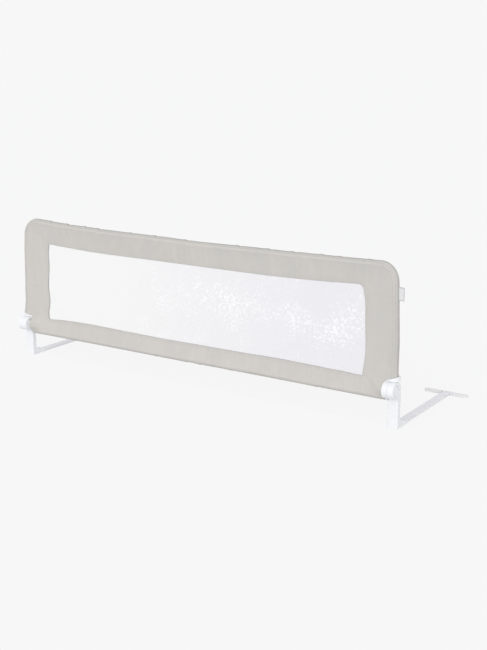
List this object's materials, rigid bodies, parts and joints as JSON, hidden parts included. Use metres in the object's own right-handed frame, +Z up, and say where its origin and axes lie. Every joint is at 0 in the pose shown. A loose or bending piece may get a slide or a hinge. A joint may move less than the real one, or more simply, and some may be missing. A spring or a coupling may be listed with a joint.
{
  "type": "folding bed guard rail",
  "caption": "Long fabric-covered bed guard rail with a mesh window, hinged on two short legs whose flat arms slide under the mattress; it folds down outwards.",
  "frame": {"origin": "middle of the rail's outline, on the plane that the arms lie on", "axes": "+X along the rail, +Y from the panel towards the mattress, +Z up"},
  "size_m": [1.628, 0.45, 0.5067],
  "materials": {
    "white_plastic": "moulded, slightly glossy cool white",
    "grey_plastic": "moulded, inside the hinge",
    "painted_steel": "smooth pale grey powder coat",
    "zinc_steel": "zinc plated fasteners and inner sleeves",
    "spring_steel": "drawn wire and strip",
    "pale_rubber": "soft matt sleeves",
    "greige_cloth": "plain woven polyester, warm light grey",
    "white_netting": "fine open netting",
    "tag_cloth": "plain white woven tape, blank"
  },
  "bodies": {
    "base": {"leg_right": "white_plastic", "leg_left": "white_plastic", "arm_right": "painted_steel", "arm_left": "painted_steel", "arm_screw_front_right": "zinc_steel", "arm_screw_front_left": "zinc_steel", "arm_screw_rear_right": "zinc_steel", "arm_screw_rear_left": "zinc_steel", "crossbar_right": "painted_steel", "crossbar_left": "painted_steel", "crossbar_rivet_right": "zinc_steel", "crossbar_rivet_left": "zinc_steel", "crossbar_sleeve_outer_right": "pale_rubber", "crossbar_sleeve_outer_left": "pale_rubber", "crossbar_sleeve_inner_right": "pale_rubber", "crossbar_sleeve_inner_left": "pale_rubber"},
    "panel": {"hinge_housing_right": "white_plastic", "hinge_housing_left": "white_plastic", "housing_cover_right": "white_plastic", "housing_cover_left": "white_plastic", "cover_screw_upper_right": "zinc_steel", "cover_screw_upper_left": "zinc_steel", "cover_screw_lower_right": "zinc_steel", "cover_screw_lower_left": "zinc_steel", "hinge_bolt_right": "zinc_steel", "hinge_bolt_left": "zinc_steel", "hinge_nut_right": "zinc_steel", "hinge_nut_left": "zinc_steel", "lock_spring_right": "spring_steel", "lock_spring_left": "spring_steel", "upright_pin_right": "zinc_steel", "upright_pin_left": "zinc_steel", "bottom_tube_pin_right": "zinc_steel", "bottom_tube_pin_left": "zinc_steel", "corner_tube_right": "painted_steel", "corner_tube_left": "painted_steel", "top_joint_sleeve_right": "zinc_steel", "top_joint_sleeve_left": "zinc_steel", "top_snap_spring_right": "spring_steel", "top_snap_spring_left": "spring_steel", "side_cover_right": "greige_cloth", "side_cover_left": "greige_cloth", "top_tube": "painted_steel", "bottom_tube_right": "painted_steel", "bottom_tube_left": "painted_steel", "bottom_joint_sleeve": "zinc_steel", "bottom_snap_spring": "spring_steel", "top_cover": "greige_cloth", "bottom_cover": "greige_cloth", "mesh_panel": "white_netting", "side_tag": "tag_cloth"},
    "release_right": {"release_button_right": "white_plastic", "lock_gear_right": "grey_plastic"},
    "snap_top_right": {"top_snap_button_right": "zinc_steel"},
    "release_left": {"release_button_left": "white_plastic", "lock_gear_left": "grey_plastic"},
    "snap_top_left": {"top_snap_button_left": "zinc_steel"},
    "snap_bottom": {"bottom_snap_button": "zinc_steel"}
  },
  "joints": [
    {"name": "panel_fold", "type": "hinge", "parent": "base", "child": "panel", "pos_m": [0, -0.2, 0.1225], "axis": [1, 0, 0], "range_deg": [0, 175]},
    {"name": "release_button_right_press", "type": "slide", "parent": "base", "child": "release_right", "axis": [-1, 0, 0], "range_m": [0, 0.005], "stiffness_N_per_m": 800, "springref_m": -0.006, "deforming": ["lock_spring_right"]},
    {"name": "top_snap_right_press", "type": "slide", "parent": "panel", "child": "snap_top_right", "axis": [0, -1, 0], "range_m": [0, 0.0025], "stiffness_N_per_m": 2000, "springref_m": -0.003, "deforming": ["top_snap_spring_right"]},
    {"name": "release_button_left_press", "type": "slide", "parent": "base", "child": "release_left", "axis": [1, 0, 0], "range_m": [0, 0.005], "stiffness_N_per_m": 800, "springref_m": -0.006, "deforming": ["lock_spring_left"]},
    {"name": "top_snap_left_press", "type": "slide", "parent": "panel", "child": "snap_top_left", "axis": [0, -1, 0], "range_m": [0, 0.0025], "stiffness_N_per_m": 2000, "springref_m": -0.003, "deforming": ["top_snap_spring_left"]},
    {"name": "bottom_snap_press", "type": "slide", "parent": "panel", "child": "snap_bottom", "axis": [0, -1, 0], "range_m": [0, 0.0025], "stiffness_N_per_m": 2000, "springref_m": -0.003, "deforming": ["bottom_snap_spring"]}
  ]
}
